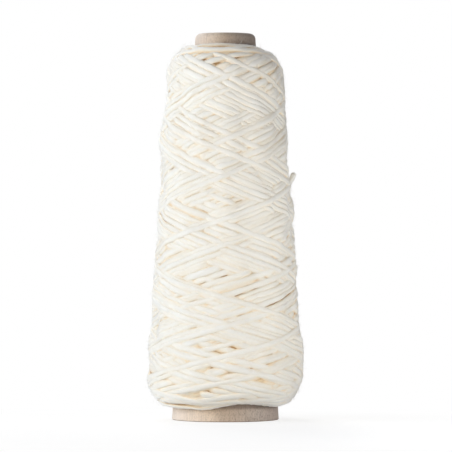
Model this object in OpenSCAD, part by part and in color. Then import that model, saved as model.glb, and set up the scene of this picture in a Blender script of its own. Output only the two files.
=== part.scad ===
// Cross-wound cone of soft single yarn on a paper cone.
// Millimetres, +Z up, origin at the middle of the base rim's lower face.
// The front is towards -Y, and azimuths are counted anticlockwise from +X, seen from above.

/* [Paper cone] */
// Height of the paper cone, from the base rim to the crest of the nose
cone_h = 290; // [250:5:340]
// Outside diameter at the base rim, over one thickness of the surface ply
base_d = 80.4; // [74:0.2:96]
// Half angle of the cone, in degrees
taper = 3.5; // [3:0.05:3.9]
// Thickness of the glued board plies
board_t = 2.6; // [1.8:0.1:3.2]
// Thickness of the surface ply, a thinner and smoother sheet
ply_t = 0.4; // [0.2:0.05:0.6]
// Azimuth of the clockwise edge of the surface ply's lap, in degrees
lap_at = 232; // [0:1:359]
// Width of the lap, in degrees
lap_width = 60; // [20:5:120]
// Height over which the lap thins out below the rolled nose
lap_thins = 4; // [2:0.5:6]
// Radius of the rolled nose, outside
nose_round = 4.2; // [2.5:0.1:5]
// Radius of the rolled nose, towards its hole
nose_inner_round = 0.8; // [0.4:0.1:2]
// Width of the flat crest between the two rounds of the nose
nose_crest = 0.2; // [0:0.1:1]
// Length of the straight land in the nose's hole
nose_land = 8; // [4:0.5:12]
// Height over which the land opens out to the cone's inner wall
nose_flare = 6; // [3:0.5:10]
// Bevel of the board on the base rim's inner edge
rim_bevel = 0.6; // [0.2:0.1:1.2]
// Height above the rim at which the surface ply is trimmed
ply_trim = 0.5; // [0.2:0.1:1.5]

/* [Yarn pack] */
// Bare cone below the pack
bare_base = 9; // [6:0.5:20]
// Bare cone above the pack
bare_nose = 10.5; // [8:0.5:20]
// Thickness of the pack at its base end, outer layer and all
pack_base_t = 21.5; // [14:0.5:28]
// Thickness of the pack at its nose end, outer layer and all
pack_nose_t = 19.5; // [14:0.5:26]
// Height of the rounded shoulder at the base end
base_shoulder = 28; // [14:1:40]
// Height of the rounded shoulder at the nose end
nose_shoulder = 20; // [12:1:36]
// Play between the pack and the paper cone's lap
pack_play = 0.05; // [0.02:0.01:0.2]

/* [Yarn] */
// Width of the yarn as it lies on the pack
yarn_w = 3.6; // [2:0.1:4.4]
// Height of the yarn as it lies on the pack
yarn_h = 2.4; // [1.4:0.1:3]
// Diameter of the loose end, where the yarn springs open
tip_d = 4.2; // [2.6:0.1:5]

/* [Outer layer] */
// One-way traverses in the outer layer, an even number
traverses = 10; // [6:2:12]
// Turns in a traverse, to the next half turn
half_turns = 2.5; // [2:0.5:3]
// How sharply the yarn turns back at the ends of the pack: 1 is a sharp corner
turn_back = 0.96; // [0.9:0.01:0.98]
// Pitch of the strand at the base end, as a share of its mean: it grows evenly towards the nose
base_pitch = 0.76; // [0.7:0.01:1]
// Share of the last traverse that is wound, up to where the yarn was cut
last_share = 0.64; // [0.3:0.01:0.9]
// Azimuth at which the yarn was cut, in degrees
cut_at = -10; // [-180:1:180]
// Distance from the end of the hidden layers to where the yarn turns back
turn_in = 3; // [2:0.5:6]
// Clearance between the outer layer and the hidden layers
layer_gap = 0.3; // [0.2:0.05:0.5]
// Clearance between two strands where they cross
cross_gap = 0.5; // [0.45:0.05:0.8]

/* [Hidden] */
$fn = 96;

board_colour = "#9f8d7b";
ply_colour = "#b7a48f";
hidden_colour = "#e6dcc9";
yarn_colour = "#f6f2e9";

// Steps along a curved stretch of a profile
round_steps = 12;
shoulder_steps = 20;
// Sides of the tubes, and where on the round of the loose end's tip its rings lie, in degrees
strand_sides = 6;
end_sides = 8;
tip_angles = [0, 25, 50, 75];

// ---- paper cone ----

// Radius of the paper cone at a height, set in from its surface by a depth square to it
function cone_r(z, depth = 0) = base_d / 2 - z * tan(taper) - depth / cos(taper);

// The rolled nose, as arcs in the (r, z) plane: the outer arc runs up from the cone's side to the crest
nose_z = cone_h - nose_round;
nose_r = cone_r(nose_z, nose_round);
function nose_arc(depth, a0, a1) = [for (i = [0:round_steps])
    let (a = a0 + (a1 - a0) * i / round_steps)
    [nose_r + (nose_round - depth) * cos(a), nose_z + (nose_round - depth) * sin(a)]];

// Outside of the cone from a height up to the crest, at a depth below the surface ply's face
function outline(depth, z0) = concat([[cone_r(z0, depth), z0]], nose_arc(depth, taper, 90));

// Inside of the nose, from the crest to the end of the land
nose_bore_r = nose_r - nose_crest - nose_inner_round;
board_top = cone_h - ply_t;
land_top = board_top - nose_inner_round;
land_foot = land_top - nose_land;
nose_mouth = [for (i = [0:round_steps])
    let (a = 90 + 90 * i / round_steps)
    [nose_bore_r + nose_inner_round * (1 + cos(a)), land_top + nose_inner_round * sin(a)]];

wall_t = board_t + ply_t;
flare_foot = land_foot - nose_flare;

// Board plies: the wall of the cone, rolled in at the nose
module board_cone() {
    inside = [
        [nose_bore_r, land_foot],
        [cone_r(flare_foot, wall_t), flare_foot],
        [cone_r(rim_bevel, wall_t), rim_bevel],
        [cone_r(0, wall_t - rim_bevel), 0]
    ];
    color(board_colour) rotate_extrude() polygon(concat(outline(ply_t, 0), nose_mouth, inside));
}

// Surface ply: one sheet round the board, whose lap thins out where it is pressed flat at the nose
module surface_ply() {
    lap_z = nose_z - lap_thins;
    lap = [
        [cone_r(ply_trim, ply_t / 2), ply_trim],
        [cone_r(ply_trim, -ply_t), ply_trim],
        [cone_r(lap_z, -ply_t), lap_z],
        [cone_r(nose_z, ply_t / 2), nose_z]
    ];
    color(ply_colour) {
        rotate_extrude() polygon(concat(outline(0, ply_trim), reverse(outline(ply_t, ply_trim))));
        rotate([0, 0, lap_at]) rotate_extrude(angle = lap_width) polygon(lap);
    }
}

function reverse(list) = [for (i = [len(list) - 1:-1:0]) list[i]];

// ---- yarn pack ----

// The outer layer is two strands deep: those that run up lie over those that run down
layer_t = layer_gap + 2 * yarn_h + cross_gap;
body_z0 = bare_base + yarn_h / 2;
body_z1 = cone_h - bare_nose - yarn_h / 2;

// Round of a shoulder: 0 at the pack's end, rising to 1 as a quarter of an ellipse
function shoulder(from_end, height) = sqrt(1 - pow(max(0, 1 - from_end / height), 2));

// Radius of the hidden layers at a height
function body_t(z) = pack_base_t - layer_t + (pack_nose_t - pack_base_t) * (z - body_z0) / (body_z1 - body_z0);
function body_r(z) = cone_r(z) + body_t(z)
    * shoulder(max(0, z - body_z0), base_shoulder) * shoulder(max(0, body_z1 - z), nose_shoulder);

// Heights at which the hidden layers' profile has its points: close together on the shoulders
body_heights = concat(
    [for (i = [1:shoulder_steps]) body_z0 + base_shoulder * (1 - cos(90 * i / shoulder_steps))],
    [for (i = [shoulder_steps:-1:1]) body_z1 - nose_shoulder * (1 - cos(90 * i / shoulder_steps))]
);

// Hidden layers: the yarn below the outer layer, as one plain body
module hidden_layers() {
    bore_depth = -ply_t - pack_play;
    bore = [[cone_r(body_z1, bore_depth), body_z1], [cone_r(body_z0, bore_depth), body_z0]];
    skin = [for (z = body_heights) [body_r(z), z]];
    color(hidden_colour) rotate_extrude() polygon(concat(skin, bore));
}

// ---- outer layer ----

// A traverse takes a little less than its half turns, so that the strand comes back beside itself.
// Two rings of the tube lie between one crossing and the next, and every crossing has a ring.
turns = half_turns - 1 / traverses;
rings_per_turn = 2 * traverses;
rings_per_traverse = turns * rings_per_turn;
last_ring = round(rings_per_traverse * (traverses - 1 + last_share));

// Height of ring i: a wave between the pack's ends, near straight, with rounded turns, whose pitch
// leans towards the nose. The first ring is at the nose end.
turn_z0 = body_z0 + turn_in;
turn_z1 = body_z1 - turn_in;
function wave(i) = asin(turn_back * cos(180 * i / rings_per_traverse)) / asin(turn_back);
function lean(share) = base_pitch * share + (1 - base_pitch) * share * share;
function strand_z(i) = turn_z0 + (turn_z1 - turn_z0) * lean((1 + wave(i)) / 2);
function strand_azimuth(i) = cut_at + (i - last_ring) * 360 / rings_per_turn;

// 1 while the strand runs up over the others, 0 while it runs down under them.
// It changes over within two rings of each turn, where no other strand crosses it.
function smooth(x) = let (t = min(1, max(0, x))) t * t * (3 - 2 * t);
function from_turn(i, turn) = (i - turn * rings_per_traverse) / 4 + 0.5;
function upper(i) = let (n = round(i / rings_per_traverse), s = smooth(from_turn(i, n))) n % 2 == 0 ? 1 - s : s;

// Direction square to the hidden layers' surface at a height, in the (r, z) plane
function body_normal(z) = let (d = 0.01, slope = (body_r(z + d) - body_r(z - d)) / (2 * d)) [1, -slope] / norm([1, slope]);

function round_z(azimuth, r, z) = [r * cos(azimuth), r * sin(azimuth), z];
function strand_normal(i) = let (n = body_normal(strand_z(i))) round_z(strand_azimuth(i), n[0], n[1]);
// The strand runs straight from ring to ring, so its rings stand out by the chord's sag
function chord_sag(r) = r / cos(180 / rings_per_turn) - r;
function strand_centre(i) = round_z(strand_azimuth(i), body_r(strand_z(i)), strand_z(i))
    + strand_normal(i) * (chord_sag(body_r(strand_z(i))) + layer_gap + yarn_h / 2 + upper(i) * (yarn_h + cross_gap));

function unit(v) = v / norm(v);

// One ring of a tube: sides points round a centre, w wide and h high, with h along the normal
function ring(centre, along, normal, w, h, sides) =
    let (across = unit(cross(along, normal)), up = unit(cross(across, along)), flat = cos(180 / sides))
    [for (k = [0:sides - 1])
        let (a = 360 * k / sides)
        centre + across * w / 2 * cos(a) + up * h / 2 * sin(a) / flat];

// Triangles over a tube's rings, with a fan on each end
function tube_faces(rings, sides) = concat(
    [for (k = [1:sides - 2]) [0, k + 1, k]],
    [for (i = [0:rings - 2], k = [0:sides - 1], half = [0, 1])
        let (a = i * sides + k, b = i * sides + (k + 1) % sides)
        half == 0 ? [a, b, a + sides] : [b, b + sides, a + sides]],
    [for (k = [1:sides - 2]) let (e = (rings - 1) * sides) [e, e + k, e + k + 1]]
);

module tube(rings, sides) {
    polyhedron(points = [for (r = rings) each r], faces = tube_faces(len(rings), sides), convexity = 12);
}

strand_centres = [for (i = [0:last_ring]) strand_centre(i)];
strand_normals = [for (i = [0:last_ring]) strand_normal(i)];
function strand_along(i) = unit(strand_centres[min(last_ring, i + 1)] - strand_centres[max(0, i - 1)]);

// Gap between two strands whose centres are v apart: v less the yarn's half size in that direction, twice
function reach(v, normal) =
    let (c = abs(v * normal) / norm(v), s = sqrt(max(0, 1 - c * c)))
    1 / sqrt(pow(c / yarn_h, 2) + pow(s / yarn_w, 2));
function least_gap() = min([for (i = [0:last_ring - traverses])
    let (p = strand_centres[i])
    min([for (j = [i + traverses / 2:last_ring])
        let (v = strand_centres[j] - p)
        norm(v) > 4 * yarn_w ? norm(v) : norm(v) - reach(v, strand_normals[i])])]);

// Outer layer: one unbroken strand, wound up and down over the hidden layers
module outer_layer() {
    echo(outer_layer_turns = last_ring / rings_per_turn, least_gap_to_itself = least_gap());
    color(yarn_colour) tube(
        [for (i = [0:last_ring])
            ring(strand_centres[i], strand_along(i), strand_normals[i], yarn_w, yarn_h, strand_sides)],
        strand_sides
    );
}

// ---- loose end ----

// Route of the loose end from the cut face of the outer layer, as millimetres along the strand,
// out from the pack and up, and the share by which it has sprung open
end_route = [
    [0, 0, 0, 0],
    [1.5, 0.1, 0, 0.2],
    [3, 0.8, 0.6, 0.5],
    [4, 1.8, 2, 0.8],
    [4.6, 2.8, 3.8, 1],
    [5.2, 4.4, 7.2, 1]
];

// Loose end: the yarn's free end, which stands off the pack and is rounded at its tip
module loose_end() {
    along = strand_along(last_ring);
    out = strand_normals[last_ring];
    places = [for (p = end_route) strand_centres[last_ring] + along * p[0] + out * p[1] + [0, 0, p[2]]];
    last = len(places) - 1;
    heading = unit(places[last] - places[last - 1]);
    function size(i, lying) = lying + (tip_d - lying) * end_route[i][3];
    stem = [for (i = [0:last - 1])
        ring(places[i], unit(places[i + 1] - places[max(0, i - 1)]), out,
            size(i, yarn_w), size(i, yarn_h), end_sides)];
    tip = [for (a = tip_angles)
        ring(places[last] - heading * tip_d / 2 * (1 - sin(a)), heading, out,
            tip_d * cos(a), tip_d * cos(a), end_sides)];
    color(yarn_colour) tube(concat(stem, tip), end_sides);
}

board_cone();
surface_ply();
hidden_layers();
outer_layer();
loose_end();
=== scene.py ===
"""Yarn cone: a soft single yarn, cross-wound on a paper cone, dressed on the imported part.

Metres, +Z up, front towards -Y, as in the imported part. The wound yarn is worked out in millimetres
on the face of the pack and turned to metres when its meshes are made.
"""

import bpy
import numpy as np
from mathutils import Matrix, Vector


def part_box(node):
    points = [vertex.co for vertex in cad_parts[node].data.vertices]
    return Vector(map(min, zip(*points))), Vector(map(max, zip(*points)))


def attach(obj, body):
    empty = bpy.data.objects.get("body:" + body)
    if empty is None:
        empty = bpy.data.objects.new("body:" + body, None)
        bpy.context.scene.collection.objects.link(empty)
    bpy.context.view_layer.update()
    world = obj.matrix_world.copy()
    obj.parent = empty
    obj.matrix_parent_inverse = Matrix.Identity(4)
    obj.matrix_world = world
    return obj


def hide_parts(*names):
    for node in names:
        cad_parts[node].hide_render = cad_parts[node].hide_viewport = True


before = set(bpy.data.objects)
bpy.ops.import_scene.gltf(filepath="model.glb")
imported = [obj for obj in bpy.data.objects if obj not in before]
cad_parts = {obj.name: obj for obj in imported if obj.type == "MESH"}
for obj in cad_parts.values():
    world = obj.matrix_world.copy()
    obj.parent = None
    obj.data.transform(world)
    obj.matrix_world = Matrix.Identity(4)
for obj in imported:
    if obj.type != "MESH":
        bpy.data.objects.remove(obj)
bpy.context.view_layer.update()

# ---- camera ----
# The cone is seen square on from far off, level with the middle of its height, so its sides
# run straight and its two rims are only slightly curved.

MM = 0.001
cone_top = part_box("board_cone")[1].z
camera_distance = 2.593
camera_shift = 0.5 * MM
camera_rise = 0.6 * MM
camera_lens = 274.5
sensor_w = 36
farthest_seen = 50

camera = bpy.data.objects.new("camera", bpy.data.cameras.new("camera"))
camera.data.sensor_width = sensor_w
camera.data.lens = camera_lens
camera.data.clip_end = farthest_seen
camera.location = (camera_shift, -camera_distance, cone_top / 2 + camera_rise)
camera.rotation_euler = (np.pi / 2, 0, 0)
bpy.context.scene.collection.objects.link(camera)
bpy.context.scene.camera = camera

# ---- paper cone ----
# Grey board plies wound and glued into a cone, with a smoother brown-grey ply round them. The
# nose is rolled in hot, and the ply's lap runs the height of the cone at the front.

board_tones = [("#9C8C7C", 0)]
board_fleck_and_shade = "#6E6054"
# Tones of the ply by how many degrees they lie away, either way round, from its palest azimuth. That
# azimuth faces the key light, so the tones are the ply's own colour with painted light on that side and
# painted shade away from it.
palest = -170
ply_tones_and_painted_light = [
    ("#F6E7D5", 15),
    ("#F4E1CA", 45),
    ("#ECD8BE", 63),
    ("#CDB8A0", 79),
    ("#CBBEB0", 118),
    ("#BDACA0", 150),
]
ply_fleck_and_shade = "#75655A"
# The hot roller has browned the nose, more and more between these heights. The share grows with the
# degrees away from the palest azimuth too, from the first share to the second, which is painted shade
# on the side away from the key light.
browned_z = (cone_top - 30 * MM, cone_top - 10 * MM)
browning_and_shade = np.radians((75, 135))
browned_and_shaded_shares = (0.17, 0.58)
nose_brown_and_shade_tone = "#75675D"
# A painted shadow of the pack's foot darkens the ply brown, which shows where the yarn is raised. The
# painted shadow sets in over the first pair of heights, and ends over the second, inside the pack.
pack_foot_shadow_z = (8.5 * MM, 10.5 * MM)
pack_foot_shadow_end_z = (200 * MM, 210 * MM)
pack_foot_shadow_share = 0.6
# Azimuths of the lap's two edges, and the degrees to either side over which their dark lines fade
ply_laps = (-128, -68)
lap_fade = np.radians((0.23, 0.69))
lap_share = 0.3
# Clouds of the pulp, upright streaks from the rolling, and short fibres: width and height in
# millimetres, detail, the range of the noise over which they set in, and their share. The fibres are
# really about 0.03 mm wide, and are drawn as coarse as they need to be to show.
pulp_clouds = (12, 12, 3, (0.35, 0.65), 0.08)
rolled_streaks = (1.1, 16, 2, (0.35, 0.7), 0.16)
short_fibres = (0.6, 1.5, 2, (0.5, 0.68), 0.6)
# Between these degrees away the dark fibres grow from a share of theirs to all of it, which is partly
# painted shade on the side away from the key light
fibre_and_shade_growth = np.radians((30, 110))
least_fibres = 0.3
# Width and depth of the sheet's tooth in millimetres
tooth_w = 0.6
tooth_h = 0.25


def linear(hex_colour):
    """An sRGB hex colour as linear RGBA: c / 12.92 up to 0.04045, else ((c + 0.055) / 1.055) ** 2.4."""
    srgb = np.array([int(hex_colour[i : i + 2], 16) for i in (1, 3, 5)]) / 255
    return (*np.where(srgb <= 0.04045, srgb / 12.92, ((srgb + 0.055) / 1.055) ** 2.4), 1)


def new_material(name):
    """An empty node material."""
    material = bpy.data.materials.new(name)
    material.use_nodes = True
    material.node_tree.nodes.clear()
    return material


def add(owner, kind, sockets=(), output=0, **settings):
    """Adds a node to a material or world and returns one of its outputs, its first if none is named.

    The sockets are a tuple in their order, or a dict by name or number. Each is a number, a colour or
    the output to link from. Sockets of a Mix node share their names, so it is filled by number: 0 is
    its share, 2 and 3 are what it mixes if these are numbers, and 6 and 7 if they are colours. A
    mixed colour is its output 2.
    """
    node = owner.node_tree.nodes.new("ShaderNode" + kind)
    for name, value in settings.items():
        setattr(node, name, value)
    for name, value in sockets.items() if isinstance(sockets, dict) else enumerate(sockets):
        if isinstance(value, bpy.types.NodeSocket):
            owner.node_tree.links.new(value, node.inputs[name])
        else:
            node.inputs[name].default_value = value
    return node.outputs[output] if node.outputs else None


def paper(name, tones, laps, fleck_and_shade, roughness):
    """Uncoated recycled board: dull, streaked from its rolling, with short dark fibres and a tooth. Its
    tones also carry painted light towards the key light, and painted shade away from it and under the
    pack's foot.

    Each coat lays a tone over what is below it, by a share. Away is the azimuth from the palest one,
    which faces the key light, wrapped to half a turn and without its sign.
    """
    sheet = new_material(name)
    place = add(sheet, "TexCoord", output="Object")
    x, y, z = add(sheet, "SeparateXYZ", (place,)).node.outputs
    azimuth = add(sheet, "Math", (y, x), operation="ARCTAN2")
    turned = add(sheet, "Math", (azimuth, np.radians(palest)), operation="SUBTRACT")
    turned = add(sheet, "Math", (turned, np.pi, -np.pi), operation="WRAP")
    away = add(sheet, "Math", (turned,), operation="ABSOLUTE")
    coats = []
    # Tones by azimuth: the ply's own colour with painted light towards the key light and painted shade
    # away from it
    for (_, start), (tone, stop) in zip(tones[:-1], tones[1:]):
        coats.append((add(sheet, "MapRange", (away, np.radians(start), np.radians(stop), 0, 1)), tone))

    # The nose browns with height, and more away from the key light, which is painted shade
    rolled = add(sheet, "MapRange", (z, *browned_z, 0, 1))
    browned_and_shaded_away = add(sheet, "MapRange", (away, *browning_and_shade, *browned_and_shaded_shares))
    coats.append((add(sheet, "Math", (rolled, browned_and_shaded_away), operation="MULTIPLY"), nose_brown_and_shade_tone))

    # Painted shadow of the pack's raised foot on the ply
    above_foot = add(sheet, "MapRange", (z, *pack_foot_shadow_z, 0, pack_foot_shadow_share))
    below_end = add(sheet, "MapRange", (z, *pack_foot_shadow_end_z, 1, 0))
    coats.append((add(sheet, "Math", (above_foot, below_end), operation="MULTIPLY"), fleck_and_shade))

    for lap in laps:
        off = add(sheet, "Math", (azimuth, np.radians(lap)), operation="SUBTRACT")
        off = add(sheet, "Math", (off,), operation="ABSOLUTE")
        coats.append((add(sheet, "MapRange", (off, *lap_fade, lap_share, 0)), fleck_and_shade))

    patterns = []
    for width, height, detail, sets_in, share in (pulp_clouds, rolled_streaks, short_fibres):
        size = (1 / (width * MM), 1 / (width * MM), 1 / (height * MM))
        drawn = add(sheet, "Mapping", {"Vector": place, "Scale": size})
        noise = add(sheet, "TexNoise", {"Vector": drawn, "Scale": 1, "Detail": detail}, "Fac")
        patterns.append(add(sheet, "MapRange", (noise, *sets_in, 0, share)))
    clouds, streaks, fibres = patterns
    coats.append((add(sheet, "Math", (clouds, streaks), operation="ADD"), fleck_and_shade))
    # Dark fibres grow away from the key light, partly painted shade
    fibres_and_shade = add(sheet, "MapRange", (away, *fibre_and_shade_growth, least_fibres, 1))
    coats.append((add(sheet, "Math", (fibres_and_shade, fibres), operation="MULTIPLY"), fleck_and_shade))

    toned = linear(tones[0][0])
    for share, tone in coats:
        toned = add(sheet, "Mix", {0: share, 6: toned, 7: linear(tone)}, 2, data_type="RGBA")
    toothed = {"Vector": place, "Scale": 1 / (tooth_w * MM), "Detail": 3, "Roughness": 0.7}
    tooth = add(sheet, "TexNoise", toothed, "Fac")
    bump = add(sheet, "Bump", {"Height": tooth, "Strength": 0.5, "Distance": tooth_h * MM})
    surface = add(
        sheet,
        "BsdfPrincipled",
        {
            "Base Color": toned,
            "Roughness": roughness,
            "IOR": 1.45,
            "Specular IOR Level": 0.35,
            "Sheen Weight": 0.15,
            "Sheen Roughness": 0.6,
            "Normal": bump,
        },
    )
    add(sheet, "OutputMaterial", {"Surface": surface})
    return sheet


grey_board = paper("uncoated_grey_board", board_tones, (), board_fleck_and_shade, 0.95)
kraft_ply = paper("kraft_surface_ply", ply_tones_and_painted_light, ply_laps, ply_fleck_and_shade, 0.8)
for node, material in (("board_cone", grey_board), ("surface_ply", kraft_ply)):
    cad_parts[node].data.materials.clear()
    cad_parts[node].data.materials.append(material)

# ---- wound yarn ----
# One soft single yarn, wound to and fro over the turning cone. Each run from end to end takes
# three turns. Runs fall beside each other in bands of two to four, and each lies over what is
# already there, so the bands cross in diamonds that older bands show through.

ply_t = 0.4
taper = np.radians(3.5)
base_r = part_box("board_cone")[1].x / MM + ply_t
# The yarn's width and height, and the height that it adds where it is pressed on other yarn
yarn_w = 4.2
yarn_h = 2.6
pressed_h = 0.7
# The pack reaches a little past its core at both ends
core_inset = 1.2
pack_z = (
    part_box("hidden_layers")[0].z / MM - core_inset,
    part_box("hidden_layers")[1].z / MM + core_inset,
)
# Its thickness over the paper at the base and the nose, and the heights of its shoulders there
pack_t = (21.5, 19.5)
shoulder_h = (28, 20)

# A run is one way along the cone, and two runs, down and up, come back beside themselves. Within a
# band they come back a gain of degrees further on, and a new band starts a jump further.
runs = 170
run_turns = 3
base_pitch = 0.76
band_gain = 12.2
gain_spread = (0.85, 1.15)
band_jump = 137.5
jump_spread = (0.9, 1.1)
band_sizes = (2, 3, 3, 4)
# Degrees over which the yarn rests at the two ends of its runs, and the nose's share of them
rests = (40, 200)
nose_rest = 0.65
# A band turns back somewhere in the first range from the face's foot, and in the second from its
# top, and its runs differ by the spread. The yarn starts first_room from the top.
end_room = ((4.2, 14), (3.4, 16))
end_spread = (-1, 1)
first_room = 6
# Radians over which a run gets up its pitch at the base and at the nose
ease = (1.5, 1.2)
# The yarn strays from its path by so much, in waves of this length, but not at the pack's very ends
stray = 0.3
stray_wave = 70
stray_room = 2.6
stray_fade = 12
# Stretches where the yarn is raised or sunk: how far, the share of a turn over which it is, the
# azimuth in degrees of the highest place, and the length of the face over which it fades out
base_raises = [(5.2, 0.26, -71, 20), (-1.5, 0.1, -110, 12), (2, 0.25, 8, 30)]
nose_raises = [(3, 1, -125, 30), (-2.4, 0.3, -5, 18)]
seed = 369
random = np.random.default_rng(seed)


def meridian(points=900):
    """Outline of the pack's face in the (r, z) plane, from the cone at its foot to the cone at its top.

    The cone's own line is moved out by a thickness that changes evenly with height, and each end
    closes on the cone as a quarter of an ellipse. Returns the length along the outline, the radius,
    the height, and the normal's radial and upward parts.
    """
    low, high = pack_z
    z = low + (high - low) * (1 - np.cos(np.linspace(0, np.pi, points))) / 2
    thickness = pack_t[0] + (pack_t[1] - pack_t[0]) * (z - low) / (high - low)
    for from_end, height in ((z - low, shoulder_h[0]), (high - z, shoulder_h[1])):
        thickness = thickness * np.sqrt(1 - np.clip(1 - from_end / height, 0, 1) ** 2)
    r = base_r - z * np.tan(taper) + thickness
    length = np.concatenate(([0], np.cumsum(np.hypot(np.diff(r), np.diff(z)))))
    return length, r, z, np.gradient(z, length), -np.gradient(r, length)


face = meridian()
face_length = face[0][-1]


def on_face(length, column):
    """Reads the meridian's radius (1), height (2) or normal (3 and 4) at lengths along it."""
    return np.interp(length, face[0], face[column])


def wander(count, spacing, size):
    """A smooth random curve: random knots a spacing apart, joined by a cosine, of that size."""
    knots = random.normal(0, size, int(count / spacing) + 3)
    at = np.arange(count) / spacing + random.uniform(0, 1)
    low = at.astype(int)
    share = (1 - np.cos(np.pi * (at - low))) / 2
    return knots[low] * (1 - share) + knots[low + 1] * share


# The yarn is sampled at even steps of azimuth, which are about this long on the pack's mean radius
sample_step = 0.8
mean_r = 50
samples_per_turn = int(2 * np.pi * mean_r / sample_step)


def run_path(start, stop, sweep, rest, round_off):
    """Places along one run, at even steps of azimuth.

    The pitch grows evenly from base_pitch of its mean at the base to 2 - base_pitch at the nose.
    Near an end it is nothing while the yarn rests there, and then grows as
    x / sqrt(x ** 2 + round_off ** 2), where x is the azimuth gone since.
    """
    count = int(sweep / (2 * np.pi) * samples_per_turn)
    azimuth = np.linspace(0, sweep, count, endpoint=False)
    x0 = np.maximum(0, azimuth - rest[0])
    x1 = np.maximum(0, sweep - rest[1] - azimuth)
    pitch = x0 / np.hypot(x0, round_off[0]) * x1 / np.hypot(x1, round_off[1])
    share = np.cumsum(pitch) / pitch.sum()
    up = share if stop > start else 1 - share
    up = base_pitch * up + (1 - base_pitch) * up**2
    return azimuth, min(start, stop) + abs(stop - start) * up


def wind():
    """Azimuth and place on the face of every sample of the yarn, run after run.

    A run sweeps run_turns turns, and half of what the two runs gain and jump. The yarn rests longer
    at the ends where it jumps to a new band. The jumps spread the bands evenly round the cone.
    """
    paths = []
    azimuth = 0
    left_in_band = 0
    nose_place = face_length - first_room
    for _ in range(runs // 2):
        gain = np.radians(band_gain * random.uniform(*gain_spread))
        jump = 0
        if left_in_band == 0:
            left_in_band = random.choice(band_sizes)
            jump = np.radians(band_jump * random.uniform(*jump_spread))
            rest = np.radians(random.uniform(*rests))
            ends = [random.uniform(*room) for room in end_room]
        left_in_band -= 1
        base_place = ends[0] + random.uniform(*end_spread)
        next_nose = face_length - ends[1] + random.uniform(*end_spread)
        at_nose = nose_rest * (rest + jump) / 2
        at_base = (1 - nose_rest) * (rest + jump) / 2
        sweep = run_turns * 2 * np.pi + gain / 2 + jump / 2
        down = run_path(nose_place, base_place, sweep, (at_nose, at_base), (ease[1], ease[0]))
        up = run_path(base_place, next_nose, sweep, (at_base, at_nose), (ease[0], ease[1]))
        for turned, places in (down, up):
            from_end = np.minimum(places - stray_room, face_length - stray_room - places)
            fade = np.clip(from_end / stray_fade, 0, 1)
            places = places + wander(len(places), stray_wave / sample_step, stray) * fade
            paths.append((azimuth + turned, places))
            azimuth += sweep
        nose_place = next_nose
    return paths


def raised(azimuth, place):
    """How far the yarn lies above the even face, as the pack's two ends aren't quite level.

    At each end it is size * (1 + cos(angle)) / 2, where angle goes from -pi to pi over the raised
    share of a turn, and it fades out evenly with the distance from the end.
    """
    lift = 0
    for end, raises in ((0, base_raises), (face_length, nose_raises)):
        for size, share, highest, reach in raises:
            off = (azimuth - np.radians(highest) + np.pi) % (2 * np.pi) - np.pi
            wave = (1 + np.cos(np.clip(off / share, -np.pi, np.pi))) / 2
            lift = lift + size * wave * np.clip(1 - np.abs(place - end) / reach, 0, 1)
    return lift


# The face is rolled out into a grid of cells, which holds how high the yarn lies so far. The pack is
# about 1.4 times as wide as the cone.
cell = 0.6
widest = 1.4
rows = int(face_length / cell) + 1
columns = int(2 * np.pi * base_r * widest / cell)
# Places across the yarn, and how far its round underside rises there, in half heights. It stops just
# short of upright.
offsets = np.linspace(-1, 1, 9)
roundness = 1 - np.sqrt(1 - np.minimum(np.abs(offsets), 0.98) ** 2)


def footprint(azimuth, place):
    """Cells of the face under the yarn: one row per sample, one column per offset across it.

    An offset lies that many half widths to the side of the yarn's path, at a right angle to it.
    """
    r = on_face(place, 1)
    along = np.gradient(place)
    around = r * np.gradient(azimuth)
    norm = np.hypot(along, around)
    reach = offsets * yarn_w / 2
    row = (place[:, None] + (around / norm)[:, None] * reach) / cell
    column = (azimuth[:, None] - (along / norm / r)[:, None] * reach) / (2 * np.pi) * columns
    return np.clip(row.astype(int), 0, rows - 1) * columns + np.floor(column).astype(int) % columns


# Radius of the curve that the yarn takes round the pack, and the reaches of its spans, in samples
bend_r = 62
spans = (1, 2, 3, 5, 7, 10, 13, 17)


def draw_taut(rest_on):
    """The height of a taut yarn over points that it may rest on.

    It is the highest of all straight spans between two points a and b samples away on either
    side, less a * b / (2 * bend) for the roundness of the pack below the span. The bend is the
    curve's radius over the square of a sample's length.
    """
    bend = bend_r / sample_step**2
    padded = np.pad(rest_on, spans[-1], mode="edge")
    count = len(rest_on)
    middle = spans[-1]
    taut = rest_on.copy()
    for a in spans:
        before = padded[middle - a : middle - a + count]
        for b in spans:
            after = padded[middle + b : middle + b + count]
            taut = np.maximum(taut, (b * before + a * after) / (a + b) - a * b / (2 * bend))
    return taut


def soften(values, width):
    """A running mean of that many samples, taken twice."""
    kernel = np.ones(width) / width
    kernel = np.convolve(kernel, kernel)
    return np.convolve(np.pad(values, len(kernel) // 2, mode="edge"), kernel, mode="valid")


def blur(field, width):
    """A running mean of that many cells, taken twice along the face and twice round it."""
    for axis, mode in ((0, "edge"), (1, "wrap")) * 2:
        margin = [(0, 0), (0, 0)]
        margin[axis] = (width // 2 + 1, width // 2)
        total = np.cumsum(np.pad(field, margin, mode=mode), axis=axis)
        if axis == 0:
            field = (total[width:] - total[:-width]) / width
        else:
            field = (total[:, width:] - total[:, :-width]) / width
    return field


# How deep the yarn bites into what it lies on, the stretch over which its height is evened out, in
# samples, and the stretch of a run's end, in yarn widths, that the next run passes under
bite = 0.15
evened = 5
tail_length = 2.5
# The share of what stands above its surroundings, of so many cells, that settles
settle_share = 0.75
settle_width = 9


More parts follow.
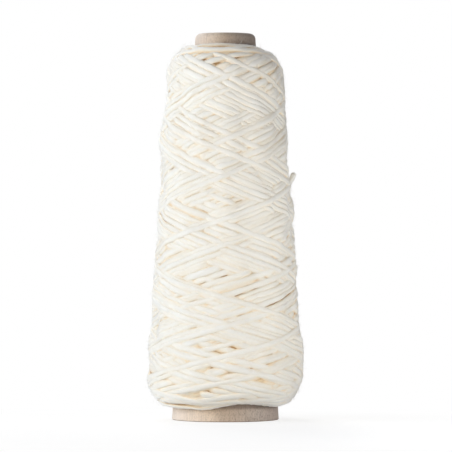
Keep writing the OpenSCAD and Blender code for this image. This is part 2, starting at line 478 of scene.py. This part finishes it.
def lay(paths):
    """Heights of the yarn's underside, run after run, and the field of heights that they end in.

    Each run rests on the highest points under its rounded underside, is drawn taut over the hollows
    and then raises the field by its own thickness. The last stretch of a run counts only after the
    next run has started on it. After each run the soft pack settles: what stands above its
    surroundings sinks, with all that lies below it, and hollows fill.
    """
    field = np.zeros((rows, columns))
    sunk = np.zeros((rows, columns))
    heights, cells_of = [], []
    tail = int(tail_length * yarn_w / sample_step)
    waiting = None
    for azimuth, place in paths:
        cells = footprint(azimuth, place)
        rest_on = (field.flat[cells] - roundness * pressed_h / 2).max(axis=1) - bite
        height = soften(draw_taut(rest_on), evened)
        if waiting is not None:
            np.maximum.at(field.reshape(-1), *waiting)
        top = height[:, None] + pressed_h * (1 - roundness / 2)
        np.maximum.at(field.reshape(-1), cells[:-tail].ravel(), top[:-tail].ravel())
        waiting = cells[-tail:].ravel(), top[-tail:].ravel()
        middle = cells[:, len(offsets) // 2]
        heights.append(height - sunk.flat[middle])
        cells_of.append(middle)
        level = blur(field, settle_width)
        change = (level.mean() - level) * settle_share
        field += change
        sunk += change
        waiting = waiting[0], waiting[1] + change.flat[waiting[0]]
    np.maximum.at(field.reshape(-1), *waiting)
    return [height + sunk.flat[middle] for height, middle in zip(heights, cells_of)], field


# The last run is cut where its free end comes to this height, and all the yarn is turned so that
# the cut lies at this azimuth
cut_z = 177
cut_azimuth = np.radians(-10)
paths = wind()
last_azimuth, last_place = paths[-1]
cut = np.searchsorted(on_face(last_place, 2), cut_z)
paths[-1] = (last_azimuth[:cut], last_place[:cut])
turn_all = cut_azimuth - paths[-1][0][-1]
paths = [(azimuth + turn_all, place) for azimuth, place in paths]
heights, field = lay(paths)

# The height that three quarters of the field stay under at each place along the face, evened out
# over some cells. The yarn is moved so that this height lies on the face itself.
usual_percentile, usual_evened = 75, 9
usual = soften(np.percentile(field, usual_percentile, axis=1), usual_evened)
field_length = (np.arange(rows) + 0.5) * cell

# The pack isn't quite round: it has soft humps and hollows 20 to 30 mm across, about 1 mm high,
# which fade out towards its ends
hump_width, hump_height, hump_fade = 13, 0.9, 40
humps = blur(random.normal(size=field.shape), int(hump_width / cell))
humps *= hump_height / humps.std()
from_end = np.minimum(field_length, face_length - field_length)
humps *= np.clip(from_end / hump_fade, 0, 1)[:, None]

# Fuller and flatter places at its sides: azimuth in degrees, height, and reach along the face and
# rise in millimetres. Each falls off as a bell over its reach and over bell_turn degrees.
side_places = [
    (0, 195, 10, -2.5),
    (0, 121, 6, -2),
    (0, 106, 6, -1.5),
    (0, 69, 9, -2),
    (0, 48, 12, 1.5),
    (0, 24, 10, -2.2),
    (180, 238, 9, -2.5),
    (180, 207, 9, 2.5),
    (180, 135, 9, -1.8),
    (180, 68, 22, -2.3),
]
bell_turn = 25
column_turn = 2 * np.pi * (np.arange(columns) + 0.5) / columns
for azimuth, z, reach, rise in side_places:
    off_turn = (column_turn - np.radians(azimuth) + np.pi) % (2 * np.pi) - np.pi
    off_face = (on_face(field_length, 2) - z) / reach
    humps += rise * np.exp(-(off_face[:, None] ** 2) - (off_turn / np.radians(bell_turn)) ** 2)

# Mean height of the pack within about 3 mm of each cell. Depths are counted from it, and kept within
# a range: yarn above it is on top, and yarn below it is under other yarn, in a groove or in a hole.
surroundings = 3
mean_height = blur(field, int(surroundings / cell))
depth_range = (-1, 4)
top_depth, under_depth, groove_depth, hole_depth = -0.5, 0.4, 1.1, 2.1

# Painted warm shade by depth stands for light passed on through the fibre: cream on the strands that
# lie under others, straw in the grooves, tan in the holes
top_tone, painted_under_shade, painted_groove_shade, painted_hole_shade = "#F8F6EC", "#F8F0DD", "#F3DEB9", "#B48A4E"
# The fibres lie at an angle to the yarn. They are too fine to show, so tufts of them are drawn.
fibre_lie = np.radians(20)
tuft_length, tuft_w, tuft_h = 4.5, 0.45, 0.5


def yarn_material():
    """Undyed soft-spun single: matt, with the faint lie of its fibres, and painted warm shade deep in
    the pack.
    """
    yarn = new_material("undyed_soft_single_yarn")
    uv = add(yarn, "UVMap", uv_map="UVMap")
    turned = add(yarn, "Mapping", {"Vector": uv, "Rotation": (0, 0, fibre_lie)})
    drawn = add(yarn, "Mapping", {"Vector": turned, "Scale": (1 / tuft_length, 1 / tuft_w, 1)})
    tufts = add(yarn, "TexNoise", {"Vector": drawn, "Scale": 1, "Detail": 4}, "Fac")
    # Tones by depth: painted shade under other strands, in grooves and in holes
    depth = add(yarn, "Attribute", output="Fac", attribute_name="depth")
    tones = add(yarn, "ValToRGB", (add(yarn, "MapRange", (depth, *depth_range, 0, 1)),))
    depths = (top_depth, hole_depth, under_depth, groove_depth)
    top, hole, under, groove = np.interp(depths, depth_range, (0, 1))
    stops = tones.node.color_ramp.elements
    stops[0].position, stops[0].color = top, linear(top_tone)
    stops[1].position, stops[1].color = hole, linear(painted_hole_shade)
    stops.new(under).color = linear(painted_under_shade)
    stops.new(groove).color = linear(painted_groove_shade)
    bump = add(yarn, "Bump", {"Height": tufts, "Strength": 0.15, "Distance": tuft_h * MM})
    surface = add(
        yarn,
        "BsdfPrincipled",
        {
            "Base Color": tones,
            "Roughness": 0.95,
            "Specular IOR Level": 0.2,
            "Sheen Weight": 1,
            "Sheen Roughness": 0.5,
            "Normal": bump,
        },
    )
    add(yarn, "OutputMaterial", {"Surface": surface})
    return yarn


soft_yarn = yarn_material()


def yarn_piece(mesh, depth):
    """Makes a mesh a piece of the yarn. It gets each point's depth in the pack and a UV map."""
    mesh.attributes.new("depth", "FLOAT", "POINT").data.foreach_set("value", depth.ravel())
    mesh.uv_layers.new(name="UVMap")
    mesh.shade_smooth()
    mesh.materials.append(soft_yarn)
    piece = bpy.data.objects.new(mesh.name, mesh)
    bpy.context.scene.collection.objects.link(piece)
    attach(piece, "root")
    return piece


def directions(centre, out):
    """Unit vectors along a path, across it and up from it.

    Across is at a right angle to the path and to out, and up is at one to the path and to across.
    """
    along = np.gradient(centre, axis=-2)
    along /= np.linalg.norm(along, axis=-1, keepdims=True)
    across = np.cross(out, along)
    across /= np.linalg.norm(across, axis=-1, keepdims=True)
    return along, across, np.cross(along, across)


def rings_round(centre, across, up, wide, high, angle):
    """Rings round a path: centre + across * wide / 2 * cos(angle) + up * high / 2 * sin(angle)."""
    aside = (wide / 2 * np.cos(angle))[..., None]
    above = (high / 2 * np.sin(angle))[..., None]
    return centre[..., None, :] + across[..., None, :] * aside + up[..., None, :] * above


def tube_faces(rings, sides, joined=False):
    """Quads between each ring and the next. A corner's number is ring * sides + side.

    Each ring closes up on itself, and the last ring closes up on the first where they are joined.
    """
    ring, side = np.meshgrid(np.arange(rings - 1 + joined), np.arange(sides), indexing="ij")
    after, beside = (ring + 1) % rings, (side + 1) % sides
    quads = np.stack([ring, side, ring, beside, after, beside, after, side], -1).reshape(-1, 4, 2)
    return quads @ [sides, 1]


def tube_ends(rings, sides):
    """The two faces that cap a tube: its first ring, the other way round, and its last ring."""
    return np.stack([np.arange(sides)[::-1], (rings - 1) * sides + np.arange(sides)])


# Width of a strand with its fluff, which sinks into that of its neighbours
fluffy_w = 4.65
girth = np.pi * (fluffy_w + yarn_h) / 2
# The points round a strand start underneath, where its seam lies
sides = 10
ring_angle = -np.pi / 2 + 2 * np.pi * np.arange(sides) / sides


def yarn_tube(name, points, run, depth):
    """A piece of yarn over rings of points, closed up into a tube with both ends capped.

    points is (rings, sides, 3) in millimetres, run is each ring's place along the yarn, and depth is
    each point's depth in the pack. The UV map is in millimetres along the yarn and round it. The
    faces point outwards where the sides run anticlockwise, seen from the last ring.
    """
    rings, sides = points.shape[:2]
    uv = np.stack(np.broadcast_arrays(run[:, None], girth * np.arange(sides + 1) / sides), -1)
    quads, caps = tube_faces(rings, sides), tube_ends(rings, sides)
    corners = np.stack([uv[:-1, :-1], uv[:-1, 1:], uv[1:, 1:], uv[1:, :-1]], axis=2).reshape(-1, 2)
    cap_corners = np.concatenate([uv[0, :sides], uv[-1, :sides]])
    mesh = bpy.data.meshes.new(name)
    mesh.vertices.add(rings * sides)
    mesh.vertices.foreach_set("co", points.ravel() * MM)
    mesh.loops.add(quads.size + caps.size)
    mesh.loops.foreach_set("vertex_index", np.concatenate([quads.ravel(), caps.ravel()]))
    starts = np.concatenate([np.arange(len(quads)) * 4, quads.size + np.array([0, sides])])
    mesh.polygons.add(len(starts))
    mesh.polygons.foreach_set("loop_start", starts)
    mesh.update(calc_edges=True)
    piece = yarn_piece(mesh, depth)
    mesh.uv_layers["UVMap"].data.foreach_set("uv", np.concatenate([corners, cap_corners]).ravel())
    return piece


# Thick and thin places of the yarn, by their spacing in rings and their size, the share of it that
# goes into its height, and how uneven its tufts of fibre make it
slubs = ((4, 0.05), (12, 0.07), (31, 0.06))
slub_height = 0.5
tuft_swell = 0.06


def strand(azimuth, place, height, name):
    """Tube round a run of the yarn: an ellipse carried along it, flat side to the pack.

    Its centre lies off the face, along the normal, by the yarn's height there, and is raised as the
    pack's ends are. The yarn is thicker and thinner by turns, more in its width, and uneven all over
    from its tufts of fibre.
    """
    r = on_face(place, 1)
    row = np.clip((place / cell).astype(int), 0, rows - 1)
    column = np.floor(azimuth / (2 * np.pi) * columns).astype(int) % columns
    level = height - np.interp(place, field_length, usual) + humps[row, column]
    normal_r = on_face(place, 3)
    out = np.stack([normal_r * np.cos(azimuth), normal_r * np.sin(azimuth), on_face(place, 4)], 1)
    out /= np.linalg.norm(out, axis=1, keepdims=True)
    z = on_face(place, 2) + raised(azimuth, place)
    centre = np.stack([r * np.cos(azimuth), r * np.sin(azimuth), z], 1)
    centre += out * (level + pressed_h - yarn_h / 2)[:, None]
    along, across, up = directions(centre, out)
    run = np.cumsum(np.linalg.norm(np.gradient(centre, axis=0), axis=1))
    slub = np.ones(len(run))
    for spacing, size in slubs:
        slub += wander(len(run), spacing, size)
    tufts = random.normal(1, tuft_swell, (len(run), sides))
    wide = slub[:, None] * tufts * fluffy_w
    high = (1 + slub_height * (slub - 1))[:, None] * tufts * yarn_h
    points = rings_round(centre, across, up, wide, high, ring_angle)
    point_height = height[:, None] + pressed_h - yarn_h / 2 + high / 2 * np.sin(ring_angle)
    # Each point's depth picks the painted shade of the yarn under others, in grooves and in holes
    depth = np.clip(mean_height[row, column][:, None] - point_height, *depth_range)
    return yarn_tube(name, points, run, depth), centre[-1], along[-1], up[-1]


# Every third sample gets a ring, and the yarn is made in pieces, each of which starts on the last
# ring of the one before
ring_step = 3
piece_rings = 9500
azimuths = np.concatenate([azimuth for azimuth, _ in paths])[::ring_step]
places = np.concatenate([place for _, place in paths])[::ring_step]
levels = soften(np.concatenate(heights), evened)[::ring_step]
yarn_pieces = []
for number, start in enumerate(range(0, len(azimuths), piece_rings), 1):
    part = slice(start, start + piece_rings + 1)
    name = f"wound_yarn_{number}"
    piece, last_centre, last_along, last_up = strand(azimuths[part], places[part], levels[part], name)
    yarn_pieces.append(piece)
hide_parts("hidden_layers", "outer_layer")

# ---- stray fibres ----
# Soft-spun yarn is hairy: short fibres stand off the strands on top, most by one end and some as
# loops. They are drawn 0.14 mm thick, coarser than the real 0.02 mm, and far fewer.

fibre_count = 7000
fibre_d = 0.14
fibre_lengths = (2, 6)
fibre_rises = (0.2, 1.3)
# They turn off the yarn's way by so many radians, and their tips curl aside by so many millimetres
fibre_turn = 0.5
fibre_curl = 1
looped_share = 0.3
fibre_rings = 5
fibre_sides = 3
# A root's normal points away from the cone's axis by at least this share
outward_share = 0.2


def fibre_roots():
    """Random places on the strands on top, in millimetres: the point, its normal and the way along."""
    found = []
    for piece in yarn_pieces:
        mesh = piece.data
        count = len(mesh.vertices)
        point, normal, depth = np.empty(count * 3), np.empty(count * 3), np.empty(count)
        mesh.vertices.foreach_get("co", point)
        mesh.vertex_normals.foreach_get("vector", normal)
        mesh.attributes["depth"].data.foreach_get("value", depth)
        point, normal = point.reshape(-1, 3) / MM, normal.reshape(-1, 3)
        along = np.roll(point, -sides, axis=0) - point
        along /= np.linalg.norm(along, axis=1, keepdims=True)
        outward = (point * normal)[:, :2].sum(axis=1) / np.hypot(point[:, 0], point[:, 1])
        has_next = np.arange(count) < count - sides
        on_top = (depth < groove_depth) & (outward > outward_share) & has_next
        found.append(np.stack([point, normal, along])[:, on_top])
    found = np.concatenate(found, axis=1)
    return found[:, random.choice(found.shape[1], fibre_count, replace=False)]


def fibre_points():
    """Rings round each fibre: (fibres, rings, sides, 3).

    With t from 0 at the root to 1 at the tip, a fibre goes length * t ahead, curl * t ** 2 to the
    side, and out by rise * t ** 1.5, or by rise * sin(pi * t) where it is a loop.
    """
    root, normal, along = fibre_roots()[:, :, None]
    side = np.cross(normal, along)
    t = np.linspace(0, 1, fibre_rings)[None, :, None]
    each = (fibre_count, 1, 1)
    length = random.uniform(*fibre_lengths, each)
    length = length * random.choice([-1, 1], each)
    turn = random.normal(0, fibre_turn, each)
    curl = random.normal(0, fibre_curl, each)
    rise = random.uniform(*fibre_rises, each)
    looped = random.random(each) < looped_share
    centre = root + (along * np.cos(turn) + side * np.sin(turn)) * length * t + side * curl * t**2
    centre = centre + normal * rise * np.where(looped, np.sin(np.pi * t), t**1.5)
    _, across, up = directions(centre, normal)
    angle = 2 * np.pi * np.arange(fibre_sides) / fibre_sides
    return rings_round(centre, across, up, fibre_d, fibre_d, angle)


# The faces of one fibre, its sides and then its two ends, are repeated for all of them
corners = fibre_points()
before = fibre_rings * fibre_sides * np.arange(fibre_count)[:, None, None]
quads = (tube_faces(fibre_rings, fibre_sides) + before).reshape(-1, 4)
ends = (tube_ends(fibre_rings, fibre_sides) + before).reshape(-1, fibre_sides)
mesh = bpy.data.meshes.new("stray_fibres")
mesh.from_pydata((corners.reshape(-1, 3) * MM).tolist(), [], quads.tolist() + ends.tolist())
yarn_piece(mesh, np.full(len(mesh.vertices), top_depth))

# ---- heart of the pack ----
# The yarn below the layers that show is the same yarn, packed tight. It is one closed body, as
# deep below the face as the gaps between the strands, and fitted round the paper cone.

# The skin lies this far below the pack's mean height over so many cells, and stops this far short
# of the face's two ends
gap_depth = 1.6
heart_blur = 15
heart_ends = 1.5
# The bore clears the cone by this much, and the heart is painted with the shade of yarn at this depth
heart_play = 0.6
heart_shade_depth = 2.0
heart_rows = 220
bore_rows = 55
heart_columns = 300


def heart_points():
    """Points of the heart: its skin, then its bore, which closes on the skin at both ends.

    The skin is the face, moved along its normal by the smoothed height of the pack around each
    point less gap_depth, raised as the pack's ends are, and kept outside the bore. The bore is the
    cone's line moved out a little.
    """
    length = np.linspace(heart_ends, face_length - heart_ends, heart_rows)
    turn = 2 * np.pi * np.arange(heart_columns) / heart_columns
    row = np.clip((length / cell).astype(int), 0, rows - 1)
    column = (turn / (2 * np.pi) * columns).astype(int)
    skin = (blur(field, heart_blur) + humps)[row][:, column] - gap_depth
    skin -= np.interp(length, field_length, usual)[:, None]
    r = on_face(length, 1)[:, None] + skin * on_face(length, 3)[:, None]
    z = on_face(length, 2)[:, None] + skin * on_face(length, 4)[:, None]
    z += raised(turn[None], length[:, None])
    r = np.maximum(r, base_r - z * np.tan(taper) + heart_play)
    bore_z = z[-1] + (z[0] - z[-1]) * np.linspace(0, 1, bore_rows)[1:-1, None]
    r = np.concatenate([r, base_r - bore_z * np.tan(taper) + heart_play])
    z = np.concatenate([z, bore_z])
    return np.stack([r * np.cos(turn), r * np.sin(turn), z], -1)


corners = heart_points()
quads = tube_faces(len(corners), heart_columns, joined=True)
mesh = bpy.data.meshes.new("pack_heart")
mesh.from_pydata((corners.reshape(-1, 3) * MM).tolist(), [], quads.tolist())
yarn_piece(mesh, np.full(len(mesh.vertices), heart_shade_depth))

# ---- loose end ----
# The last of the yarn lies over the pack and ends on the right, where it was cut. Its end stands
# off the pack, has sprung open to its full roundness, and is rounded by the frayed fibres.

tip_d = 4.2
# Route from where the yarn was cut, as millimetres along it, out from the pack and up, and the
# share by which it has sprung open
end_route = [
    (0, 0, 0, 0),
    (1.5, 0.1, 0, 0.2),
    (3, 0.8, 0.6, 0.5),
    (4, 1.8, 2, 0.8),
    (4.6, 2.8, 3.8, 1),
    (5.2, 4.4, 7.2, 1),
]
route_steps = 200
route_softening = 21
end_rings = 40
tip_rings = 8
least_square = 0.003


def loose_end_points(foot, along, out):
    """Rings round a smooth curve through the route, closed by half a ball at the tip.

    The route is read at even steps and smoothed by a running mean. Over the last half diameter the
    ring's size falls as sqrt(1 - t ** 2), whose square stops at least_square.
    """
    route = np.array(end_route, dtype=float)
    steps = np.linspace(0, len(route) - 1, route_steps)
    lines = [np.interp(steps, np.arange(len(route)), line) for line in route.T]
    route = np.stack([soften(line, route_softening) for line in lines], 1)
    path = foot + route[:, :1] * along + route[:, 1:2] * out + route[:, 2:3] * [0, 0, 1]
    run = np.concatenate(([0], np.cumsum(np.linalg.norm(np.diff(path, axis=0), axis=1))))
    tip = run[-1] - tip_d / 2 + tip_d / 2 * np.sin(np.linspace(0, np.pi / 2, tip_rings))
    at = np.concatenate([np.linspace(0, tip[0], end_rings, endpoint=False), tip])
    t = np.clip((at - tip[0]) / (tip_d / 2), 0, 1)
    size = np.sqrt(np.clip(1 - t**2, least_square, 1))
    centre = np.stack([np.interp(at, run, line) for line in path.T], 1)
    sprung = np.interp(at, run, route[:, 3])
    wide = (fluffy_w + (tip_d - fluffy_w) * sprung) * size
    high = (yarn_h + (tip_d - yarn_h) * sprung) * size
    _, across, up = directions(centre, out)
    return rings_round(centre, across, up, wide[:, None], high[:, None], ring_angle), at


points, run = loose_end_points(last_centre, last_along, last_up)
loose = yarn_tube("loose_yarn_end", points, run, np.full(points.shape[:2], top_depth))
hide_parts("loose_end")

# ---- floor and light ----
# A white studio floor, a large soft box on the left and a smaller one high behind. A small one low
# on the right and a faint warm one in front stand for light off the floor, in a dim white room.

floor_half = 6
corners = floor_half * np.array([(-1, -1, 0), (1, -1, 0), (1, 1, 0), (-1, 1, 0)])
floor_mesh = bpy.data.meshes.new("floor")
floor_mesh.from_pydata(corners.tolist(), [], [(0, 1, 2, 3)])
floor = bpy.data.objects.new("floor", floor_mesh)
bpy.context.scene.collection.objects.link(floor)


def seen_directly(owner):
    """1 for rays from the camera, and for those by way of a reflection or through glass, else 0."""
    path = add(owner, "LightPath").node.outputs
    some = add(owner, "Math", (path["Is Camera Ray"], path["Is Glossy Ray"]), operation="MAXIMUM")
    return add(owner, "Math", (some, path["Is Transmission Ray"]), operation="MAXIMUM")


# Near the object the floor shows a share of its own shading, and white for the rest. The white is
# as bright as brings the floor to white where no shadow falls. The share falls to nothing over these
# distances from its centre, past which the floor is plain white.
floor_tone = "#E8E7E4"
open_floor = 0.6
shade_share = 0.5
shade_centre = (0, -0.17, 0)
shade_fade = (0.1, 0.32)
pale = new_material("white_studio_floor")
place = add(pale, "TexCoord", output="Object")
distance = add(pale, "VectorMath", (place, shade_centre), "Value", operation="DISTANCE")
fall = (distance, *shade_fade, shade_share, 0)
shading = add(pale, "MapRange", fall, interpolation_type="SMOOTHSTEP")
white_share = add(pale, "Math", (1, shading), operation="SUBTRACT")
white = add(pale, "Math", (shading, -open_floor, 1), operation="MULTIPLY_ADD")
white = add(pale, "Math", (white, white_share), operation="DIVIDE")
seen_white = add(pale, "Math", (seen_directly(pale), white_share), operation="MULTIPLY")
diffuse = add(pale, "BsdfDiffuse", {"Color": linear(floor_tone)})
glow = add(pale, "Emission", {"Color": (1, 1, 1, 1), "Strength": white})
both = add(pale, "MixShader", (seen_white, diffuse, glow))
add(pale, "OutputMaterial", {"Surface": both})
floor_mesh.materials.append(pale)

# The white room is dimmer overhead than at the height of the object
room_light = (0.2, 0.12)
overhead = 0.6
world = bpy.data.worlds.new("studio")
bpy.context.scene.world = world
world.use_nodes = True
world.node_tree.nodes.clear()
upward = add(world, "SeparateXYZ", (add(world, "TexCoord", output="Generated"),), "Z")
room = add(world, "MapRange", (upward, 0, overhead, *room_light))
strength = add(world, "Mix", {0: seen_directly(world), 2: room, 3: 1})
background = add(world, "Background", {"Color": (1, 1, 1, 1), "Strength": strength})
add(world, "OutputWorld", {"Surface": background})


def lamp(name, place, aim, size, power, colour="#FFFFFF"):
    """A square soft box at a place, facing the aim. It lights the object and isn't seen itself."""
    light = bpy.data.lights.new(name, "AREA")
    light.size = size
    light.energy = power
    light.color = linear(colour)[:3]
    body = bpy.data.objects.new(name, light)
    body.location = place
    towards = np.array(aim) - np.array(place)
    yaw = np.arctan2(towards[1], towards[0]) - np.pi / 2
    lean = np.arctan2(np.hypot(towards[0], towards[1]), -towards[2])
    body.rotation_euler = (lean, 0, yaw)
    body.visible_camera = False
    bpy.context.scene.collection.objects.link(body)


middle = (0, 0, cone_top / 2)
low = (0, 0, cone_top / 4)
lamp("key_soft_box", (-1.5, -0.8, 0.4), middle, 2, 45, "#EDF3FE")
lamp("back_soft_box", (-0.4, 1.2, 1.3), middle, 0.8, 12)
lamp("low_fill", (0.34, -0.26, 0.08), low, 0.25, 0.96, "#F3F7FF")
lamp("front_bounce", (0.1, -1.2, 0.25), middle, 0.5, 0.8, "#FFBE50")

bpy.context.scene.view_settings.view_transform = "Standard"
